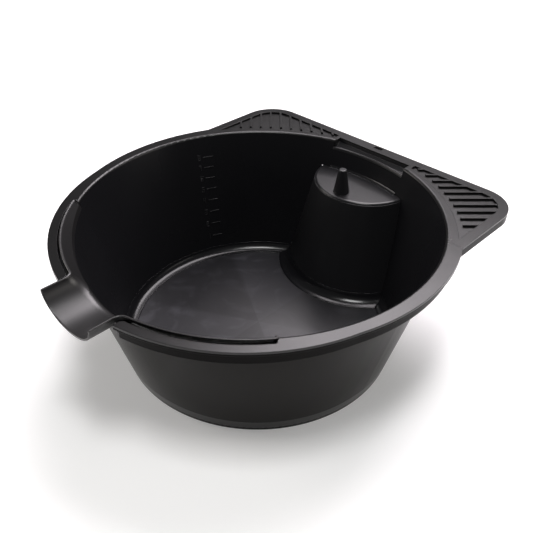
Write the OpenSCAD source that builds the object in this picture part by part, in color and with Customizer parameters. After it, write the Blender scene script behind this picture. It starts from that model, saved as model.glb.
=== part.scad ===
// Pouring bowl for a hair salon, moulded in one piece of black plastic.
// A drafted round bowl with a pouring spout, two drip gutters beside it, a straight rear edge with
// two ribbed corner trays, a hang slot, a grip recess, and a hollow column that carries a drip ledge
// with a drip spike.  The origin is the middle of the base on the table, +Z is up, the straight
// rear edge is towards +Y and the spout is towards -Y.  The bowl is symmetric about the YZ plane.

/* [Bowl] */
// Height of the flat rim above the table
rim_z = 146; // [144:1:150]
// Inside radius of the mouth at the rim
mouth_r = 175; // [174:0.5:176]
// Inside radius that the wall would have at the table
base_r = 137.6; // [136:0.2:139]
// Thickness of the moulded walls
wall_t = 2.4; // [2:0.1:2.8]
// Height of the inside floor above the table
floor_z = 6; // [5:0.5:8]
// Radius of the fillet between the floor and the wall
corner_r = 11; // [9:0.5:13]
// Rise of the six-sided floor at its middle
floor_rise = 1.2; // [0.6:0.1:2]
// Width of the ring that the bowl stands on
foot_w = 5; // [4:0.5:8]

/* [Rim] */
// Radius of the rim around the sides
rim_side_r = 188.2; // [187:0.1:189]
// Shift of the side rim's centre towards the rear
rim_side_y = 3.9; // [3:0.1:5]
// Radius of the rim around the spout
rim_front_r = 183.5; // [183:0.1:184.5]
// Shift of the front rim's centre towards the spout
rim_front_y = 10.6; // [10:0.1:11.5]
// Thickness of the flat rim
rim_t = 2.2; // [1.8:0.1:2.6]
// Depth of the turned-down edge around the front and sides
skirt_h = 4.2; // [3.5:0.1:5]
// Thickness of the turned-down edges
skirt_t = 1.8; // [1.5:0.1:2.2]
// Depth of the stacking collar below the top of the rim
collar_h = 15; // [13:0.5:17]
// Radius of the rounded edge around the mouth
mouth_edge_r = 2.8; // [2.4:0.1:2.8]
// Step from the rim's edge in to the stacking collar
collar_inset = 3.8; // [3:0.1:4]

/* [Rear deck] */
// Half width of the rear deck
deck_x = 170; // [169:0.5:172]
// Distance from the bowl's axis to the straight rear edge
deck_y = 191.5; // [190:0.5:193]
// Radius of the deck's two corners
deck_corner_r = 36; // [34:1:38]
// Depth of the turned-down edge around the deck
deck_skirt_h = 9.6; // [8:0.2:11]
// Where the deck takes over from the round rim
deck_start_y = 84; // [82:0.5:84]

/* [Corner trays] */
// Width of the border around each tray
tray_border = 9.8; // [9:0.2:11]
// Depth of the trays below the rim
tray_depth = 2.2; // [1.4:0.1:2.4]
// Thickness of the tray floors
tray_t = 1.8; // [1.5:0.1:2.2]
// Radius of the trays' inner edge
tray_inner_r = 190.5; // [190:0.1:191]
// Shift of the inner edge's centre towards the spout
tray_inner_y = 8.9; // [8.5:0.1:9.5]
// Number of ribs in each tray
rib_count = 10; // [10:1:10]
// Spacing of the ribs
rib_pitch = 11.87; // [11.8:0.01:12]
// Width of a rib
rib_w = 2.2; // [1.8:0.1:2.6]
// Sideways place of the first rib, measured square to the ribs
rib_first = -84.3; // [-85:0.1:-83.5]

/* [Hang slot] */
// Length of the hang slot
slot_l = 10.5; // [9:0.5:12]
// Width of the hang slot
slot_w = 4.6; // [4.4:0.1:4.8]
// Distance from the rear edge to the slot
slot_edge = 2.4; // [2.2:0.1:2.8]

/* [Grip recess] */
// Half width of the grip recess
grip_x = 47.5; // [45:0.5:50]
// Distance from the bowl's axis to the back of the recess
grip_y = 178.2; // [177.8:0.1:179]
// Depth of the recess at its lip
grip_depth = 8.6; // [8:0.1:9.5]
// Depth of the recess at its back
grip_back_depth = 5.4; // [5:0.1:6]

/* [Spout] */
// Half width of the spout, outside
spout_a = 35.4; // [34:0.2:37]
// Depth of the spout below its top edges, outside
spout_b = 23.6; // [22:0.2:25]
// Thickness of the spout's wall
spout_t = 1.8; // [1.6:0.1:2]
// Distance from the bowl's axis to the end of the spout
spout_y = 208; // [204:1:212]
// Rise of the spout's top edges and of the lips above the rim
lip_rise = 2.8; // [2.4:0.1:3.2]
// Inside radius of the lips' top edge, about the front rim's centre
lip_r = 171.5; // [171:0.1:172]
// Outward slope of the throat and the lips, as radius per height
throat_slope = 0.66; // [0.62:0.01:0.7]
// Angle from the rear to where the lips start
lip_start = 130; // [129.6:0.1:130.4]
// Width of the wall's band around the spout's root
spout_root_w = 6.5; // [5:0.5:8]
// Gap between the spout and the ends of the rim
spout_gap = 3.6; // [3:0.1:4]
// Radius of the rim's corners beside that gap
gap_corner_r = 4; // [3:0.5:5]

/* [Drip gutters] */
// Width of the strip outside each gutter
gutter_strip = 8.3; // [8:0.1:8.6]
// Depth of the gutters
gutter_depth = 12; // [10:0.5:12.5]
// Angle from the rear to the closed end of a gutter
gutter_start = 130.3; // [130:0.1:131]
// Thickness of the gutter's floor and end
gutter_t = 1.6; // [1.2:0.1:2]

/* [Column and drip ledge] */
// Distance from the bowl's axis to the column's axis
column_y = 169; // [167:0.5:171]
// Radius of the column at the top of the ledge
column_top_r = 57; // [55:0.5:59]
// Draft of the column, as radius per height
column_slope = 0.2547; // [0.25:0.001:0.26]
// Height of the ledge above the table
ledge_z = 116; // [112:1:120]
// Radius of the ledge's rounded front edge
ledge_edge_r = 2.6; // [2:0.1:3]
// Thickness of the column's wall
column_t = 2.2; // [1.8:0.1:2.6]
// Radius of the fillet at the column's foot
foot_fillet_r = 14; // [10:0.5:15]
// Distance from the bowl's axis to the drip spike
spike_y = 126; // [124:0.5:128]
// Radius of the spike at its base
spike_base_r = 8.7; // [8:0.1:9.5]
// Radius of the spike at its top
spike_top_r = 4.5; // [4:0.1:5]
// Height of the spike
spike_h = 27; // [24:0.5:30]

/* [Graduations] */
// Angle from the rear to the middle of the graduations
mark_angle = 66; // [64:0.5:68]
// Length of a graduation line
mark_l = 11.5; // [9:0.5:14]
// Width of a graduation line
mark_w = 0.9; // [0.7:0.1:1.2]
// Height that the marks stand out of the wall
mark_h = 0.45; // [0.3:0.05:0.6]
// Height of a numeral
digit_h = 6.4; // [5:0.2:7.5]

/* [Hidden] */
$fn = 96;

plastic = [0.13, 0.13, 0.135];
plastic_light = [0.34, 0.34, 0.35];
plastic_dark = [0.08, 0.08, 0.085];

wall_slope = (mouth_r - base_r) / rim_z;
draft = atan(wall_slope);
wall_grow = wall_t / cos(draft);
flange_z = rim_z - rim_t;
// The fillet's circle touches the floor and the inside of the wall.
corner_cz = floor_z + corner_r;
corner_cr = base_r + wall_slope * corner_cz - corner_r / cos(draft);
corner_top_z = corner_cz - corner_r * sin(draft);
floor_t = wall_t;
spout_top_z = rim_z + lip_rise;
throat_h = 20;
throat_grow = spout_t / cos(atan(throat_slope));
tray_z = rim_z - tray_depth;
foot_cr = column_top_r + column_slope * (ledge_z - floor_z - foot_fillet_r) + foot_fillet_r / cos(draft);
groove_w = 0.8;
groove_d = 0.5;
// The fillets end in an edge this thick where they run out into a face.
fillet_edge = 0.1;
tray_front_y = deck_start_y + 4;
tray_start_x = grip_x + 5;
tray_tuck = 1.5;
rib_gap = 5.5;
grip_front_y = 120;
grip_t = 2;
grip_end_t = 1.6;
grip_floor_z = rim_z - grip_depth - grip_t;
gutter_end_r = 180.2;
gutter_end_round = 1.8;
// Distances from the bowl's axis that lie well inside the wall and well past the spout's end.
inner_y = 100;
past_y = 230;
over = 20;
tall = 400;

function wall_r(z) = base_r + wall_slope * z;
function column_r(z) = column_top_r + column_slope * (ledge_z - z);

// A point at radius r from the bowl's axis and at angle a from the rear, towards +X.
function polar(r, a) = [r * sin(a), r * cos(a)];

// ---- shared shapes ----

// Everything inside the drafted wall between two heights, made larger by grow.
module inside_cone(z0, z1, grow = 0)
    translate([0, 0, z0])
        cylinder(h = z1 - z0, r1 = wall_r(z0) + grow, r2 = wall_r(z1) + grow, $fn = 240);

// Everything outside that cone, from below the table up.
module outside_cone(z1, grow = 0)
    difference() {
        translate([0, 0, -1]) cylinder(h = z1, r = tall);
        inside_cone(-1, z1, grow);
    }

// The parts of a drawing in front of the line where the deck starts, and behind it.
module front_2d() translate([-tall, deck_start_y - 2 * tall]) square([2 * tall, 2 * tall]);
module rear_2d() translate([-tall, deck_start_y]) square([2 * tall, deck_y - deck_start_y]);

// The round part of the rim: two circles, the front one flaring towards the spout.
module round_rim_2d(inset) {
    translate([0, rim_side_y]) circle(r = rim_side_r - inset, $fn = 240);
    translate([0, -rim_front_y]) circle(r = rim_front_r - inset, $fn = 240);
}

// The rear deck: a rectangle with two round corners.
module deck_2d(inset) {
    corner_x = deck_x - deck_corner_r;
    corner_y = deck_y - deck_corner_r;
    translate([-deck_x + inset, deck_start_y])
        square([2 * (deck_x - inset), corner_y - deck_start_y]);
    translate([-corner_x, deck_start_y])
        square([2 * corner_x, deck_y - inset - deck_start_y]);
    for (side = [-1, 1])
        translate([side * corner_x, corner_y]) circle(r = deck_corner_r - inset, $fn = 120);
}

// Everything in front of two lines through the axis, at angle a from the rear on each side.
module front_wedge_2d(a)
    polygon([[0, 0], polar(tall, a), [tall, -2 * tall], [-tall, -2 * tall], polar(tall, -a)]);

// The room in the flared throat and between the lips, made larger by grow.
module throat_room(grow = 0) {
    low_z = rim_z - throat_h;
    intersection() {
        translate([0, -rim_front_y, low_z])
            cylinder(h = spout_top_z - low_z, r1 = lip_r - throat_slope * (spout_top_z - low_z) + grow,
                     r2 = lip_r + grow, $fn = 240);
        linear_extrude(tall) front_wedge_2d(lip_start - atan(grow / lip_r));
    }
}

// The space in the spout and above it.  The section is half an ellipse of semi-axes a and b.
module spout_section_2d(a, b, above) {
    steps = 48;
    polygon(concat([for (i = [0 : steps]) let (t = 180 + 180 * i / steps) [a * cos(t), b * sin(t)]],
                   [[a, above], [-a, above]]));
}

module spout_bar(inset, above, y1)
    translate([0, -inner_y, spout_top_z])
        rotate([90, 0, 0])
            linear_extrude(y1 - inner_y)
                spout_section_2d(spout_a - inset, spout_b - inset, above);

// The opening that the spout stands in, from below the collar up.
module spout_clearance(gap = 0)
    translate([-spout_a - gap, -past_y, rim_z - collar_h - 1])
        cube([2 * (spout_a + gap), past_y - inner_y, tall]);

// The room that the spout takes out of the parts around it.
module spout_room(inset = 0) spout_bar(inset, over, past_y);

// The grip recess, seen from above.
module grip_2d(grow = 0)
    translate([-grip_x - grow, grip_front_y])
        square([2 * (grip_x + grow), grip_y + grow - grip_front_y]);

// One corner tray, seen from above: side is 1 for the +X tray and -1 for the -X tray.
module tray_2d(side, inner = 0)
    intersection() {
        difference() {
            deck_2d(tray_border);
            translate([0, -tray_inner_y]) circle(r = tray_inner_r + inner, $fn = 240);
        }
        mirror([side > 0 ? 0 : 1, 0]) translate([tray_start_x, tray_front_y]) square([tall, tall]);
    }

// The open top of one drip gutter: a groove that follows the lip from its round end to the spout and
// turns outwards there.
module gutter_2d(side, grow = 0) {
    start_a = gutter_start - atan(grow / gutter_end_r);
    outer_r = rim_front_r - gutter_strip + grow;
    gap_x = spout_a + spout_gap + grow;
    corner_r = gap_corner_r - grow;
    corner_x = gap_x + corner_r;
    corner_y = rim_front_y + sqrt(pow(outer_r + corner_r, 2) - pow(corner_x, 2));
    mirror([side > 0 ? 0 : 1, 0])
        difference() {
            union() {
                intersection() {
                    translate([0, -rim_front_y]) circle(r = outer_r, $fn = 240);
                    polygon([[0, 0], polar(tall, start_a), [tall, -tall], [spout_a - grow, -tall],
                             [spout_a - grow, 0]]);
                }
                translate([spout_a - grow, -past_y])
                    square([gap_x - spout_a + grow, past_y - corner_y + corner_r]);
                difference() {
                    translate([spout_a, -corner_y]) square([corner_x - spout_a, corner_r + 1]);
                    translate([corner_x, -corner_y]) circle(r = corner_r, $fn = 60);
                }
                translate(polar(gutter_end_r, gutter_start))
                    circle(r = gutter_end_round + grow, $fn = 48);
            }
            circle(r = wall_r(rim_z), $fn = 240);
        }
}

// The column's solid cone, standing on the floor and made smaller by shrink.
module column_cone(z0, z1, shrink = 0)
    translate([0, column_y, z0])
        cylinder(h = z1 - z0, r1 = column_r(z0) - shrink, r2 = column_r(z1) - shrink, $fn = 180);

// ---- the bowl ----

// The wall as a full ring, from the fillet at the floor up to the rim.
module wall_ring()
    difference() {
        inside_cone(corner_top_z, flange_z, wall_grow);
        inside_cone(corner_top_z - 1, flange_z + 1);
    }

module bowl_wall() color(plastic) {
    difference() {
        wall_ring();
        throat_room(throat_grow);
        spout_room(-spout_root_w);
        translate([0, 0, grip_floor_z]) linear_extrude(tall) grip_2d();
        column_cone(corner_top_z - 1, ledge_z);
    }
}

// The whole fillet between the wall and the floor.
module corner_ring() {
    low_z = floor_z - floor_t;
    rotate_extrude($fn = 240)
        difference() {
            polygon([[corner_cr, low_z], [wall_r(low_z) + wall_grow, low_z],
                     [wall_r(corner_top_z) + wall_grow, corner_top_z], [corner_cr, corner_top_z]]);
            translate([corner_cr, corner_cz]) circle(r = corner_r, $fn = 120);
            translate([corner_cr - 1, corner_top_z]) square([1, 1]);
        }
}

// Fillet between the wall and the floor, up to the column.
module floor_corner() color(plastic_light) {
    difference() {
        corner_ring();
        column_cone(-1, corner_top_z + 1);
    }
}

// Round floor whose six faint facets meet at the middle.  A fine groove runs around it.
module floor_panel() color(plastic_light) {
    difference() {
        union() {
            translate([0, 0, floor_z - floor_t]) cylinder(h = floor_t, r = corner_cr, $fn = 240);
            intersection() {
                cylinder(h = tall, r = corner_cr, $fn = 240);
                translate([0, 0, floor_z]) rotate(30)
                    cylinder(h = floor_rise, r1 = corner_cr / cos(30), r2 = 0, $fn = 6);
            }
        }
        column_cone(-1, floor_z);
        translate([0, column_y, floor_z]) cylinder(h = tall, r = foot_cr + groove_w, $fn = 180);
        translate([0, column_y, floor_z - groove_d])
            difference() {
                cylinder(h = tall, r = foot_cr + groove_w, $fn = 180);
                translate([0, 0, -1]) cylinder(h = tall + 2, r = foot_cr, $fn = 180);
            }
        translate([0, 0, floor_z - groove_d])
            difference() {
                cylinder(h = tall, r = corner_cr + 1, $fn = 240);
                translate([0, 0, -1]) cylinder(h = tall + 2, r = corner_cr - groove_w, $fn = 240);
            }
    }
}

// Ring under the floor that the bowl stands on.
module foot_ring() color(plastic) {
    difference() {
        inside_cone(0, floor_z - floor_t, wall_grow);
        translate([0, 0, -1]) cylinder(h = floor_z, r = base_r + wall_grow - foot_w, $fn = 240);
        column_cone(-1, floor_z);
    }
}

// ---- the rim ----

// What the rounded edge takes off the rim's corner around the mouth.  Its circle touches the top of
// the rim and the inside of the wall.
module mouth_edge() {
    edge_cz = rim_z - mouth_edge_r;
    edge_cr = wall_r(edge_cz) + mouth_edge_r / cos(draft);
    touch_r = edge_cr - mouth_edge_r * cos(draft);
    touch_z = edge_cz + mouth_edge_r * sin(draft);
    rotate_extrude($fn = 240)
        difference() {
            polygon([[edge_cr, edge_cz], [touch_r, touch_z], [touch_r - 5, touch_z],
                     [touch_r - 5, rim_z + 1], [edge_cr, rim_z + 1]]);
            translate([edge_cr, edge_cz]) circle(r = mouth_edge_r, $fn = 96);
        }
}

module rim_cuts() {
    inside_cone(flange_z - 1, rim_z + 1);
    mouth_edge();
    throat_room(throat_grow);
    spout_clearance();
    for (side = [-1, 1]) translate([0, 0, flange_z - 1]) linear_extrude(tall) gutter_2d(side);
}

module rim_flange() color(plastic_light) {
    difference() {
        translate([0, 0, flange_z]) linear_extrude(rim_t)
            intersection() {
                round_rim_2d(0);
                front_2d();
            }
        rim_cuts();
    }
}

// Turned-down edge around the front and the sides.
module rim_skirt() color(plastic) {
    difference() {
        translate([0, 0, rim_z - skirt_h]) linear_extrude(skirt_h - rim_t)
            intersection() {
                difference() {
                    round_rim_2d(0);
                    round_rim_2d(skirt_t);
                }
                front_2d();
            }
        spout_clearance(spout_gap);
    }
}

// Second, deeper ring below the rim that a nested bowl rests on.
module stacking_collar() color(plastic) {
    difference() {
        translate([0, 0, rim_z - collar_h]) linear_extrude(collar_h - rim_t)
            intersection() {
                difference() {
                    round_rim_2d(collar_inset);
                    round_rim_2d(collar_inset + skirt_t);
                }
                front_2d();
            }
        spout_clearance(spout_gap);
    }
}

// ---- the rear deck ----

module rear_deck() color(plastic_light) {
    difference() {
        translate([0, 0, flange_z]) linear_extrude(rim_t)
            difference() {
                intersection() {
                    union() {
                        deck_2d(0);
                        round_rim_2d(0);
                    }
                    rear_2d();
                }
                tray_2d(1);
                tray_2d(-1);
                grip_2d();
                translate([-slot_l / 2, deck_y - slot_edge - slot_w]) square([slot_l, slot_w]);
            }
        inside_cone(flange_z - 1, rim_z + 1);
        mouth_edge();
    }
}

module deck_skirt() color(plastic) {
    translate([0, 0, rim_z - deck_skirt_h]) linear_extrude(deck_skirt_h - rim_t)
        difference() {
            intersection() {
                deck_2d(0);
                rear_2d();
            }
            deck_2d(skirt_t);
            translate([-deck_x + skirt_t, deck_start_y - 1]) square([2 * (deck_x - skirt_t), 2]);
        }
}

module tray(side) color(plastic_light) {
    difference() {
        translate([0, 0, tray_z - tray_t]) linear_extrude(tray_t) tray_2d(side, -tray_tuck);
        inside_cone(tray_z - tray_t - 1, rim_z, wall_grow);
    }
}

module tray_left() tray(-1);
module tray_right() tray(1);

// The ribs run at 45 degrees, square to the line from the tray's corner to the bowl.
module tray_ribs(side) color(plastic_light) {
    translate([0, 0, tray_z]) linear_extrude(tray_depth)
        intersection() {
            tray_2d(side, rib_gap);
            mirror([side > 0 ? 0 : 1, 0])
                for (k = [0 : rib_count - 1])
                    rotate(45)
                        translate([0, -rib_first - k * rib_pitch - rib_w / 2]) square([tall, rib_w]);
        }
}

module tray_ribs_left() tray_ribs(-1);
module tray_ribs_right() tray_ribs(1);

// Pocket in the rim at the rear: a sloping floor, a back and two ends.
module grip_recess() color(plastic) {
    front_y = 150;
    back_w = 1.2;
    slope_w = 3.8;
    back_z = rim_z - grip_back_depth;
    lip_z = rim_z - grip_depth;
    difference() {
        union() {
            rotate([90, 0, 90])
                translate([0, 0, -grip_x])
                    linear_extrude(2 * grip_x)
                        polygon([[front_y, grip_floor_z], [grip_y, grip_floor_z], [grip_y, back_z],
                                 [grip_y - back_w, back_z], [grip_y - back_w - slope_w, lip_z],
                                 [front_y, lip_z]]);
            translate([0, 0, grip_floor_z])
                linear_extrude(flange_z - grip_floor_z)
                    difference() {
                        grip_2d(grip_end_t);
                        grip_2d();
                    }
        }
        inside_cone(grip_floor_z - 1, rim_z);
        difference() {
            inside_cone(grip_floor_z - 1, rim_z, wall_grow);
            translate([0, 0, grip_floor_z - 2]) linear_extrude(tall) grip_2d();
        }
    }
}

// Rounded bead along the front of the grip recess.
module grip_lip() color(plastic_light) {
    lip_z = rim_z - grip_depth;
    lip_r = 1.1;
    intersection() {
        translate([0, 0, lip_z])
            rotate_extrude($fn = 240)
                translate([wall_r(lip_z) + lip_r, 0])
                    intersection() {
                        circle(r = lip_r, $fn = 32);
                        translate([-lip_r, 0]) square([2 * lip_r, lip_r]);
                    }
        translate([-grip_x, inner_y, 0]) cube([2 * grip_x, inner_y, tall]);
    }
}

// ---- the spout and the gutters ----

// Flared wall that leads to the spout.  Its top edges are the two raised lips, and each ends in a
// short wall across the mouth's edge.
module pour_throat() color(plastic) {
    difference() {
        throat_room(throat_grow);
        translate([0, 0, 1]) throat_room();
        throat_room();
        inside_cone(rim_z - throat_h - 1, rim_z + over);
        spout_room(spout_t);
    }
}

// U-shaped spout, with the band of the wall around its root.
module spout() color(plastic_light) {
    difference() {
        union() {
            difference() {
                spout_bar(0, 0, spout_y);
                inside_cone(floor_z, rim_z + over);
            }
            intersection() {
                wall_ring();
                spout_room(-spout_root_w);
            }
        }
        spout_room(spout_t);
        throat_room(throat_grow);
    }
}

// Floor and closed end of one drip gutter.
module gutter(side) color(plastic_dark) {
    floor_top_z = rim_z - gutter_depth;
    difference() {
        translate([0, 0, floor_top_z - gutter_t])
            linear_extrude(flange_z - floor_top_z + gutter_t)
                intersection() {
                    gutter_2d(side, gutter_t);
                    round_rim_2d(collar_inset + skirt_t);
                }
        translate([0, 0, floor_top_z]) linear_extrude(tall) gutter_2d(side);
        inside_cone(floor_z, rim_z + 1, wall_grow);
        throat_room(throat_grow);
        spout_room();
    }
}

module gutter_left() gutter(-1);
module gutter_right() gutter(1);

// ---- the column and the drip ledge ----

module column_wall() color(plastic_dark) {
    difference() {
        column_cone(floor_z - floor_t, ledge_z - column_t);
        column_cone(floor_z - floor_t - 1, ledge_z, column_t);
        outside_cone(rim_z, wall_grow);
    }
}

// Fillet around the column's foot, mitred into the fillet along the wall.
module column_foot() color(plastic_light) {
    fillet_cz = floor_z + foot_fillet_r;
    fillet_top_z = fillet_cz - foot_fillet_r * sin(draft);
    difference() {
        translate([0, column_y, 0])
            rotate_extrude($fn = 180)
                difference() {
                    polygon([[column_r(floor_z), floor_z], [foot_cr, floor_z],
                             [foot_cr, fillet_top_z], [column_r(fillet_top_z), fillet_top_z]]);
                    translate([foot_cr, fillet_cz]) circle(r = foot_fillet_r - fillet_edge, $fn = 120);
                }
        outside_cone(rim_z);
        corner_ring();
    }
}

// Flat ledge with a rounded front edge, level with the opening of the column.
module drip_ledge() color(plastic_light) {
    edge_cz = ledge_z - ledge_edge_r;
    edge_cr = column_top_r - ledge_edge_r;
    difference() {
        translate([0, column_y, 0])
            rotate_extrude($fn = 180)
                union() {
                    translate([0, ledge_z - column_t]) square([edge_cr, column_t]);
                    intersection() {
                        translate([edge_cr, edge_cz]) circle(r = ledge_edge_r, $fn = 60);
                        translate([edge_cr - ledge_edge_r, ledge_z - column_t])
                            square([2 * ledge_edge_r, column_t]);
                    }
                }
        outside_cone(rim_z, wall_grow);
    }
}

// Tapered spike with a rounded top.
module drip_spike() color(plastic_dark) {
    round_r = 1.4;
    translate([0, spike_y, ledge_z])
        rotate_extrude($fn = 96)
            union() {
                polygon([[0, 0], [spike_base_r, 0], [spike_top_r, spike_h - round_r],
                         [0, spike_h - round_r]]);
                translate([0, spike_h - round_r]) square([spike_top_r - round_r, round_r]);
                intersection() {
                    translate([spike_top_r - round_r, spike_h - round_r]) circle(r = round_r, $fn = 48);
                    translate([0, spike_h - round_r]) square([tall, tall]);
                }
            }
}

// ---- graduations ----

// The marks stand at equal steps of volume.  The lowest mark holds a little more than one step,
// because the column takes up some of the bowl.
mark_count = 8;
mark_extra = 0.4;
mark_top_z = rim_z - 23.75;
mark_root = 0.6;
function cone_volume(z) = (pow(wall_r(z), 3) - pow(wall_r(floor_z), 3)) / (3 * wall_slope);
function mark_volume(k) = cone_volume(mark_top_z) * (k + mark_extra) / (mark_count + mark_extra);
function mark_z(k) =
    (pow(pow(wall_r(floor_z), 3) + 3 * wall_slope * mark_volume(k), 1 / 3) - base_r) / wall_slope;

// Places a flat drawing on the inside of the wall: x runs along the wall and y up it.
module on_wall(z)
    rotate(90 + mark_angle)
        translate([wall_r(z), 0, z])
            rotate([90, 0, -90])
                rotate([-draft, 0, 0])
                    translate([0, 0, -mark_root])
                        linear_extrude(mark_h + mark_root) children();

module graduation_lines() color(plastic_light)
    for (k = [1 : mark_count])
        on_wall(mark_z(k)) translate([-mark_l / 2, -mark_w / 2]) square([mark_l, mark_w]);

// Numerals made of straight strokes on a grid two cells high, like the digits of a clock.
stroke_w = 1.1;
digit_w = 3.3;
digit_gap = 3;
// Strokes: top, upper right, lower right, bottom, lower left, upper left, middle.
DIGIT_STROKES = [[0, 1, 1, 0, 0, 0, 0], [1, 1, 0, 1, 1, 0, 1], [1, 1, 1, 1, 0, 0, 1],
                 [0, 1, 1, 0, 0, 1, 1], [1, 0, 1, 1, 0, 1, 1], [1, 0, 1, 1, 1, 1, 1],
                 [1, 1, 1, 0, 0, 0, 0], [1, 1, 1, 1, 1, 1, 1]];

module stroke(x, y, horizontal) {
    l = horizontal ? digit_w : digit_h / 2 + stroke_w / 2;
    translate([x, y]) square(horizontal ? [l, stroke_w] : [stroke_w, l]);
}

module digit_2d(n) {
    on = DIGIT_STROKES[n - 1];
    right = digit_w - stroke_w;
    middle = digit_h / 2 - stroke_w / 2;
    if (on[0]) stroke(0, digit_h - stroke_w, true);
    if (on[1]) stroke(right, middle, false);
    if (on[2]) stroke(right, 0, false);
    if (on[3]) stroke(0, 0, true);
    if (on[4]) stroke(0, 0, false);
    if (on[5]) stroke(0, middle, false);
    if (on[6]) stroke(0, middle, true);
}

module graduation_numerals() color(plastic_light)
    for (k = [1 : mark_count])
        on_wall(mark_z(k)) translate([-mark_l / 2 - digit_gap - digit_w, -digit_h / 2]) digit_2d(k);

bowl_wall();
floor_corner();
floor_panel();
foot_ring();
rim_flange();
rim_skirt();
stacking_collar();
rear_deck();
deck_skirt();
tray_left();
tray_right();
tray_ribs_left();
tray_ribs_right();
grip_recess();
grip_lip();
pour_throat();
spout();
gutter_left();
gutter_right();
column_wall();
column_foot();
drip_ledge();
drip_spike();
graduation_lines();
graduation_numerals();
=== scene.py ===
import math

import bpy
import numpy as np
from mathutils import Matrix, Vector


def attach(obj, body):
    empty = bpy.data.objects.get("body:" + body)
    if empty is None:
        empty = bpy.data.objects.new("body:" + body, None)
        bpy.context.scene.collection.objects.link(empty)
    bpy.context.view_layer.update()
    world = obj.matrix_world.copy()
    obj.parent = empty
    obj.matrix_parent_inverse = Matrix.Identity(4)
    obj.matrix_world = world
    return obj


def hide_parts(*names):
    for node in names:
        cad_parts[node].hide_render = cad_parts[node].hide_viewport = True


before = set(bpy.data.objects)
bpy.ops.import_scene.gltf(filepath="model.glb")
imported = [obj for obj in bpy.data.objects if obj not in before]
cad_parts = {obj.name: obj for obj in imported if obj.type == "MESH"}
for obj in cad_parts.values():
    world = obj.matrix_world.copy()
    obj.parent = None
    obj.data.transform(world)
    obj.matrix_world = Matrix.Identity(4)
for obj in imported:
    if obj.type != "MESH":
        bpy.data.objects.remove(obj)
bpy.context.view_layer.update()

# A black pouring bowl: one plastic moulding with a spout, gutters, ribbed trays and a drip ledge.

# ---- sizes of the bowl, in millimetres ----
RIM_Z = 146.0
MOUTH_R = 175.0
WALL_SLOPE = 0.2562
WALL_T = 2.4

# ---- sizes of the pour area, in millimetres ----
TOP_Z = 148.8
LOW_Z = TOP_Z - 31.5
LIP_R = 171.5
LIP_Y = 10.6
LIP_SLOPE = 0.66
LIP_START = math.radians(130)
SHEET_T = 1.8
SPOUT_A = 33.6
SPOUT_B = 21.8
SPOUT_END = 208.0
ROOT_W = 6.5
BLEND = 7.0
TOP_ROUND = 1.4
END_ROUND = 1.2
# The shell grows thicker below this height and near the wall, to meet the wall's own thickness.
THICK_Z = 136.0
THICK_FADE_Z = 6.0
THICK_OUT = 6.4
THICK_FADE = 4.0
# Below this height the shell runs on into the wall, sunk a little under its surface.
HIDDEN_Z = 142.0
HIDDEN_FADE = 2.0
HIDDEN_W = 1.2
SINK = 0.06
SINK_FADE = 0.3
CELL = 0.6

# ---- sizes of the ledge's fillet, in millimetres ----
LEDGE_Z = 116.0
LEDGE_HALF_W = 45.0
LEDGE_BACK_R = 166.0
FILLET_R = 2.6
FILLET_SINK = 0.4
FILLET_BENDS = 8
FILLET_STEPS = 48


# ---- materials ----
class Nodes:
    """Short names for adding and joining the shader nodes of one material."""

    def __init__(self, material):
        self.material = material
        self.material.use_nodes = True
        self.tree = self.material.node_tree
        self.shader = self.tree.nodes["Principled BSDF"]

    def add(self, kind, **values):
        node = self.tree.nodes.new(kind)
        for key, value in values.items():
            if key in node.inputs:
                node.inputs[key].default_value = value
            else:
                setattr(node, key, value)
        return node

    def join(self, a, out, b, into):
        self.tree.links.new(a.outputs[out], b.inputs[into])

    def spread(self, a, out, low, high, to_low, to_high):
        """Maps an output from the range low to high onto the range to_low to to_high."""
        node = self.add("ShaderNodeMapRange")
        for key, value in (("From Min", low), ("From Max", high), ("To Min", to_low), ("To Max", to_high)):
            node.inputs[key].default_value = value
        self.join(a, out, node, "Value")
        return node


NOISE_LOW = 0.3
NOISE_HIGH = 0.7
PLASTIC_IOR = 1.5


def outside_shade_mask(n):
    """1 on faces that look away from the bowl's axis and 0 elsewhere; there the darker colour is painted
    shade.
    """
    shape = n.add("ShaderNodeNewGeometry")
    flat = n.add("ShaderNodeVectorMath", operation="MULTIPLY")
    flat.inputs[1].default_value = (1, 1, 0)
    n.join(shape, "Position", flat, 0)
    facing = n.add("ShaderNodeVectorMath", operation="DOT_PRODUCT")
    n.join(flat, "Vector", facing, 0)
    n.join(shape, "Normal", facing, 1)
    away = n.add("ShaderNodeMath", operation="GREATER_THAN")
    away.inputs[1].default_value = 0.0
    n.join(facing, "Value", away, 0)
    return away


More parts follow.
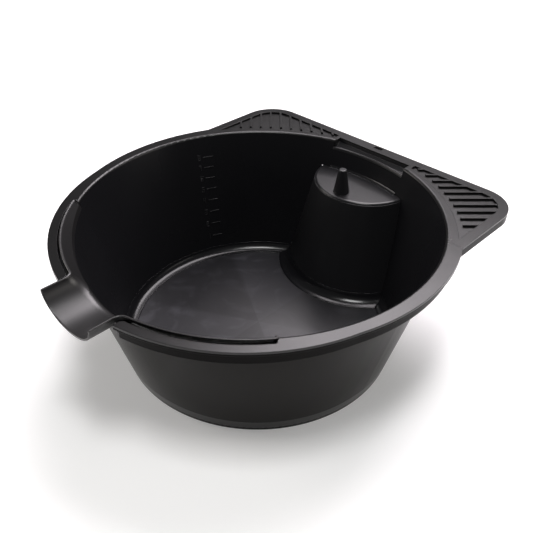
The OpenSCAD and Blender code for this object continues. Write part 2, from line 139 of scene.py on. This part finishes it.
def plastic(name, base, rough, grain, edge, shine, back=None):
    """Black moulded plastic with a fine grain and faint flow marks in colour and gloss.
    Its edges are softened where edge is not 0.  back is the colour and the roughness of the faces that
    look away from the bowl's axis; that colour is painted shade, darker and warmer than base."""
    n = Nodes(bpy.data.materials.new(name))
    place = n.add("ShaderNodeTexCoord")
    flow = n.add("ShaderNodeTexNoise", Scale=9.0, Detail=4.0, Roughness=0.55)
    fine = n.add("ShaderNodeTexNoise", Scale=2600.0, Detail=2.0, Roughness=0.5)
    for noise in (flow, fine):
        n.join(place, "Object", noise, "Vector")
    tint = n.add("ShaderNodeValToRGB")
    dark, light = tint.color_ramp.elements
    dark.position = NOISE_LOW
    dark.color = (*[c * 0.88 for c in base], 1)
    light.position = NOISE_HIGH
    light.color = (*[c * 1.1 for c in base], 1)
    n.join(flow, "Fac", tint, "Fac")
    gloss = n.spread(flow, "Fac", NOISE_LOW, NOISE_HIGH, *rough)
    # Faces that look away from the axis take back's darker, warmer colour: painted shade.
    if back:
        away = outside_shade_mask(n)
        colour = n.add("ShaderNodeMixRGB")
        colour.inputs["Color2"].default_value = (*back[0], 1)
        n.join(away, "Value", colour, "Fac")
        n.join(tint, "Color", colour, "Color1")
        n.join(colour, "Color", n.shader, "Base Color")
        change = n.add("ShaderNodeMix")
        change.inputs[3].default_value = back[1]
        n.join(away, "Value", change, 0)
        n.join(gloss, "Result", change, 2)
        n.join(change, 0, n.shader, "Roughness")
    else:
        n.join(tint, "Color", n.shader, "Base Color")
        n.join(gloss, "Result", n.shader, "Roughness")
    bump = n.add("ShaderNodeBump", Strength=grain, Distance=0.0001)
    n.join(fine, "Fac", bump, "Height")
    if edge:
        bevel = n.add("ShaderNodeBevel", samples=6)
        bevel.inputs["Radius"].default_value = edge
        n.join(bevel, "Normal", bump, "Normal")
    n.join(bump, "Normal", n.shader, "Normal")
    n.shader.inputs["IOR"].default_value = PLASTIC_IOR
    n.shader.inputs["Specular IOR Level"].default_value = shine
    return n.material


def add_facet_reflection_and_scuffs(material):
    """Makes every second facet of the floor a little lighter as a painted reflection on the glossy facets,
    and adds faint scuffs across it.
    """
    n = Nodes(material)
    old = n.shader.inputs["Base Color"].links[0].from_socket
    place = n.add("ShaderNodeTexCoord")
    parts = n.add("ShaderNodeSeparateXYZ")
    n.join(place, "Object", parts, 0)
    turn = n.add("ShaderNodeMath", operation="ARCTAN2")
    n.join(parts, "Y", turn, 0)
    n.join(parts, "X", turn, 1)
    wave = n.add("ShaderNodeMath", operation="MULTIPLY")
    wave.inputs[1].default_value = 3.0
    n.join(turn, 0, wave, 0)
    side = n.add("ShaderNodeMath", operation="COSINE")
    n.join(wave, 0, side, 0)
    # Alternate facets lighter and darker: painted reflection of the light on the glossy floor facets.
    painted_facet_reflection = n.spread(side, 0, -0.12, 0.12, 0.72, 1.2)
    scuff = n.add("ShaderNodeTexNoise", Scale=26.0, Detail=6.0, Distortion=1.5)
    n.join(place, "Object", scuff, "Vector")
    haze = n.spread(scuff, "Fac", 0.5, 0.75, 1.0, 2.1)
    both = n.add("ShaderNodeMath", operation="MULTIPLY")
    n.join(painted_facet_reflection, "Result", both, 0)
    n.join(haze, "Result", both, 1)
    tinted = n.add("ShaderNodeVectorMath", operation="SCALE")
    n.tree.links.new(old, tinted.inputs[0])
    n.join(both, 0, tinted, "Scale")
    n.join(tinted, "Vector", n.shader, "Base Color")


# OUTSIDE_PAINTED_SHADE is a darker, warmer copy of the wall's colour for its outer faces: painted shade.
OUTSIDE_PAINTED_SHADE = (0.0036, 0.0027, 0.0021)
wall = plastic("wall_plastic", (0.0078, 0.0078, 0.0088), (0.25, 0.30), 0.04, 0, 0.07, (OUTSIDE_PAINTED_SHADE, 0.27))
lip = plastic("lip_plastic", (0.0100, 0.0095, 0.0100), (0.33, 0.39), 0.06, 0, 0.6)
inside = plastic("inside_plastic", (0.0105, 0.0105, 0.0115), (0.26, 0.31), 0.04, 0.0009, 0.42)
# The outer faces of corner_plastic get a very dark, warm colour: painted shade to match the wall's outside.
corner = plastic("corner_plastic", (0.0062, 0.0062, 0.0070), (0.17, 0.21), 0.03, 0.0009, 0.3,
                 ((0.0010, 0.0007, 0.0005), 0.27))
base = plastic("floor_plastic", (0.0138, 0.0136, 0.0156), (0.30, 0.40), 0.06, 0.0008, 0.24)
add_facet_reflection_and_scuffs(base)
tray = plastic("tray_satin_plastic", (0.0052, 0.0050, 0.0052), (0.27, 0.33), 0.25, 0.0003, 0.42)
rim = plastic("rim_satin_plastic", (0.0048, 0.0046, 0.0048), (0.27, 0.33), 0.25, 0.0007, 0.36)
# skirt_painted_shade_plastic is a darker, warmer copy of the rim's colour: painted shade on the
# outward-facing skirt.
skirt = plastic("skirt_painted_shade_plastic", (0.0026, 0.0023, 0.0021), (0.26, 0.32), 0.1, 0.0007, 0.05)

RIM_NODES = ["rim_flange", "rear_deck"]
TRAY_NODES = ["tray_left", "tray_right", "tray_ribs_left", "tray_ribs_right"]
SKIRT_NODES = ["rim_skirt", "deck_skirt", "stacking_collar"]
CORNER_NODES = ["floor_corner", "column_foot"]
WALL_NODES = ["bowl_wall", "foot_ring"]
GROUPS = ((RIM_NODES, rim), (TRAY_NODES, tray), (SKIRT_NODES, skirt), (CORNER_NODES, corner),
          (WALL_NODES, wall), (["floor_panel"], base))
PLASTICS = {name: material for names, material in GROUPS for name in names}
for name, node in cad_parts.items():
    node.data.materials.clear()
    node.data.materials.append(PLASTICS.get(name, inside))


def smooth_piece(name, verts, faces, material):
    """New object with smooth shading from vertices in millimetres."""
    mesh = bpy.data.meshes.new(name)
    mesh.from_pydata((np.array(verts) / 1000).tolist(), [], faces)
    mesh.polygons.foreach_set("use_smooth", [True] * len(mesh.polygons))
    mesh.materials.append(material)
    piece = bpy.data.objects.new(name, mesh)
    bpy.context.scene.collection.objects.link(piece)
    return piece


# ---- the pour area: lips, flared wall and spout as one smooth shell ----
def soft_min(a, b, k):
    h = np.maximum(k - np.abs(a - b), 0)
    return np.minimum(a, b) - h * h / (4 * k)


def soft_max(a, b, k):
    return -soft_min(-a, -b, k)


def cone(x, y, z, r, top, slope):
    """Distance to a cone of radius r at height top that narrows downwards."""
    return (np.hypot(x, y) - r + slope * (top - z)) / math.hypot(1, slope)


def half_ellipse(x, z, a, b):
    """Distance to a channel with half an ellipse as its section."""
    low = np.minimum(z - TOP_Z, 0)
    f = np.hypot(x / a, low / b) + 1e-9
    return f * (f - 1) / (np.hypot(x / a ** 2, low / b ** 2) + 1e-9)


def pour_solid(x, y, z):
    """Negative inside the moulding around the spout.  Sizes are in millimetres."""
    x = np.abs(x)
    bowl = cone(x, y, z, MOUTH_R, RIM_Z, WALL_SLOPE)
    wedge = -x * math.cos(LIP_START) + y * math.sin(LIP_START)
    throat = np.maximum(cone(x, y + LIP_Y, z, LIP_R, TOP_Z, LIP_SLOPE), wedge)
    room = soft_min(np.minimum(bowl, throat), half_ellipse(x, z, SPOUT_A, SPOUT_B), BLEND)
    root = half_ellipse(x, z, SPOUT_A + SHEET_T + ROOT_W, SPOUT_B + SHEET_T + ROOT_W)
    beyond = np.minimum(throat - SHEET_T, root)
    hidden = np.clip((HIDDEN_Z - z) / HIDDEN_FADE, 0, 1)
    sunk = SINK * hidden * np.clip(beyond / SINK_FADE, 0, 1)
    low = np.clip((THICK_Z - z) / THICK_FADE_Z, 0, 1)
    thick = SHEET_T + (WALL_T - SHEET_T) * low * np.clip((THICK_OUT - bowl) / THICK_FADE, 0, 1)
    sheet = np.maximum(sunk - room, room + sunk - thick)
    sheet = np.maximum(sheet, beyond - HIDDEN_W * hidden)
    sheet = soft_max(sheet, z - TOP_Z, TOP_ROUND)
    sheet = soft_max(sheet, -y - SPOUT_END, END_ROUND)
    return np.maximum(sheet, LOW_Z - z)


CORNERS = [(i, j, k) for i in (0, 1) for j in (0, 1) for k in (0, 1)]


def slope_of(field, points):
    """Gradient of a field at points."""
    step = 0.02
    grad = np.empty_like(points)
    for axis in range(3):
        shift = np.zeros(3)
        shift[axis] = step
        grad[:, axis] = (field(*(points + shift).T) - field(*(points - shift).T)) / (2 * step)
    return grad


def crossings(value, cells):
    """Mean place where the cells' edges cross zero, counted in cells from the grid's corner."""
    total = np.zeros((len(cells), 3))
    count = np.zeros(len(cells))
    for start in CORNERS:
        for axis in range(3):
            if start[axis]:
                continue
            end = list(start)
            end[axis] = 1
            va = value[tuple((cells + start).T)]
            vb = value[tuple((cells + end).T)]
            hit = (va < 0) != (vb < 0)
            share = np.where(hit, va / np.where(hit, va - vb, 1), 0)
            at = np.array(start, float) + share[:, None] * np.eye(3)[axis]
            total += at * hit[:, None]
            count += hit
    return cells + total / count[:, None]


def facing_quads(sign, number):
    """One quad for each grid edge whose ends lie on different sides of the surface."""
    quads = []
    for axis in range(3):
        u, v = [(1, 2), (2, 0), (0, 1)][axis]
        inner = [slice(1, -1)] * 3
        inner[axis] = slice(0, -1)
        a = sign[tuple(inner)]
        inner[axis] = slice(1, None)
        b = sign[tuple(inner)]
        for flip, hits in ((False, a & ~b), (True, ~a & b)):
            at = np.argwhere(hits) + 1
            at[:, axis] -= 1
            ring = []
            for du, dv in ((0, 0), (1, 0), (1, 1), (0, 1)):
                cell = at.copy()
                cell[:, u] -= 1 - du
                cell[:, v] -= 1 - dv
                ring.append(number[tuple(cell.T)])
            quads.append(np.stack(ring[::-1] if flip else ring, 1))
    quads = np.concatenate(quads)
    return quads[(quads >= 0).all(1)]


def surface(field, low, high, step):
    """Vertices and quads of the surface where a field is zero, one vertex in each cell it crosses."""
    axes = [np.arange(a, b, step) for a, b in zip(low, high)]
    value = field(*np.meshgrid(*axes, indexing="ij"))
    sign = value < 0
    size = [n - 1 for n in sign.shape]
    inside_corners = np.zeros(size, int)
    for i, j, k in CORNERS:
        inside_corners += sign[i:i + size[0], j:j + size[1], k:k + size[2]]
    cells = np.argwhere((inside_corners > 0) & (inside_corners < len(CORNERS)))
    number = np.full(size, -1)
    number[tuple(cells.T)] = np.arange(len(cells))
    points = np.array(low) + step * crossings(value, cells)
    for _ in range(3):
        grad = slope_of(field, points)
        move = field(*points.T)[:, None] * grad / np.maximum((grad ** 2).sum(1), 0.25)[:, None]
        points -= np.clip(move, -0.3 * step, 0.3 * step)
    return points, facing_quads(sign, number)


def pour_shell():
    points, quads = surface(pour_solid, (-141, -209.2, 116.6), (141, -103.5, 149.6), CELL)
    normals = slope_of(pour_solid, points)
    normals /= np.maximum(np.linalg.norm(normals, axis=1), 1e-6)[:, None]
    shell = smooth_piece("pour_shell", points, quads.tolist(), lip)
    shell.data.normals_split_custom_set_from_vertices(normals.tolist())
    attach(shell, "root")
    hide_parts("pour_throat", "spout")


pour_shell()


# ---- the fillet between the ledge and the wall ----
def wall_r(z):
    return MOUTH_R - WALL_SLOPE * (RIM_Z - z)


def fillet_profile():
    """Radius and height of the strip's corners: two flat faces sunk in the plastic, then the hollow one."""
    profile = [(wall_r(LEDGE_Z + FILLET_R) + FILLET_SINK, LEDGE_Z + FILLET_R),
               (wall_r(LEDGE_Z) + FILLET_SINK, LEDGE_Z - FILLET_SINK),
               (wall_r(LEDGE_Z) - FILLET_R, LEDGE_Z - FILLET_SINK)]
    for i in range(FILLET_BENDS + 1):
        a = math.pi / 2 * i / FILLET_BENDS
        z = LEDGE_Z + FILLET_R * (1 - math.cos(a))
        profile.append((wall_r(z) - FILLET_R * (1 - math.sin(a)), z))
    return profile


def ledge_fillet():
    """Strip along the back of the ledge, bent round the bowl's axis."""
    half_angle = math.asin(LEDGE_HALF_W / LEDGE_BACK_R)
    profile = fillet_profile()
    ring = len(profile)
    verts, faces = [], []
    for j in range(FILLET_STEPS + 1):
        t = half_angle * (2 * j / FILLET_STEPS - 1)
        verts += [(r * math.sin(t), r * math.cos(t), z) for r, z in profile]
    for j in range(FILLET_STEPS):
        for i in range(ring):
            k = (i + 1) % ring
            faces.append((j * ring + i, j * ring + k, (j + 1) * ring + k, (j + 1) * ring + i))
    faces.append(tuple(range(ring))[::-1])
    faces.append(tuple(FILLET_STEPS * ring + i for i in range(ring)))
    strip = smooth_piece("ledge_fillet", verts, faces, corner)
    strip.data.set_sharp_from_angle(angle=math.radians(40))
    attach(strip, "root")


ledge_fillet()

# ---- studio ----
scene = bpy.context.scene
scene.view_settings.view_transform = "Standard"
FLOOR_SIZE = 6.0
FLOOR_DROP = 0.0001
WORLD_STRENGTH = 0.14


def floor():
    bpy.ops.mesh.primitive_plane_add(size=FLOOR_SIZE, location=(0, 0, -FLOOR_DROP))
    plane = bpy.context.object
    plane.name = "studio_floor"
    n = Nodes(bpy.data.materials.new("floor_paper"))
    n.shader.inputs["Base Color"].default_value = (0.86, 0.86, 0.86, 1)
    n.shader.inputs["Roughness"].default_value = 0.7
    n.shader.inputs["Emission Color"].default_value = (1, 1, 1, 1)
    n.shader.inputs["Emission Strength"].default_value = 0.2
    plane.data.materials.append(n.material)


def soft_light(name, place, aim, size, power, colour=(1, 1, 1)):
    data = bpy.data.lights.new(name, "AREA")
    data.shape = "SQUARE"
    data.size = size
    data.energy = power
    data.color = colour
    lamp = bpy.data.objects.new(name, data)
    scene.collection.objects.link(lamp)
    lamp.location = place
    lamp.rotation_euler = (Vector(aim) - Vector(place)).to_track_quat("-Z", "Y").to_euler()


floor()
world = bpy.data.worlds.new("studio")
scene.world = world
world.use_nodes = True
world.node_tree.nodes["Background"].inputs["Color"].default_value = (1, 1, 1, 1)
world.node_tree.nodes["Background"].inputs["Strength"].default_value = WORLD_STRENGTH
soft_light("overhead", (-0.42, 1.05, 1.75), (-0.05, 0.05, 0.1), 1.3, 56, (1, 0.94, 0.98))
soft_light("side_left", (-1.5, -0.9, 0.6), (0, 0, 0.1), 1.0, 16, (1, 0.95, 0.9))
soft_light("side_right", (1.3, 1.0, 0.5), (0, 0, 0.1), 1.0, 10, (1, 0.95, 0.9))
soft_light("front_top", (0.3, -0.3, 1.6), (0, 0, 0.1), 0.4, 12)

# ---- camera, in metres ----
eye = Vector((0.380347, -0.366524, 0.473500))
look = Vector((-0.568907, 0.565845, -0.596794))
camera_data = bpy.data.cameras.new("camera")
camera_data.sensor_width = 36
camera_data.lens = 44.13
camera_data.clip_start = 0.01
camera = bpy.data.objects.new("camera", camera_data)
scene.collection.objects.link(camera)
camera.location = eye
camera.rotation_euler = look.to_track_quat("-Z", "Y").to_euler()
scene.camera = camera
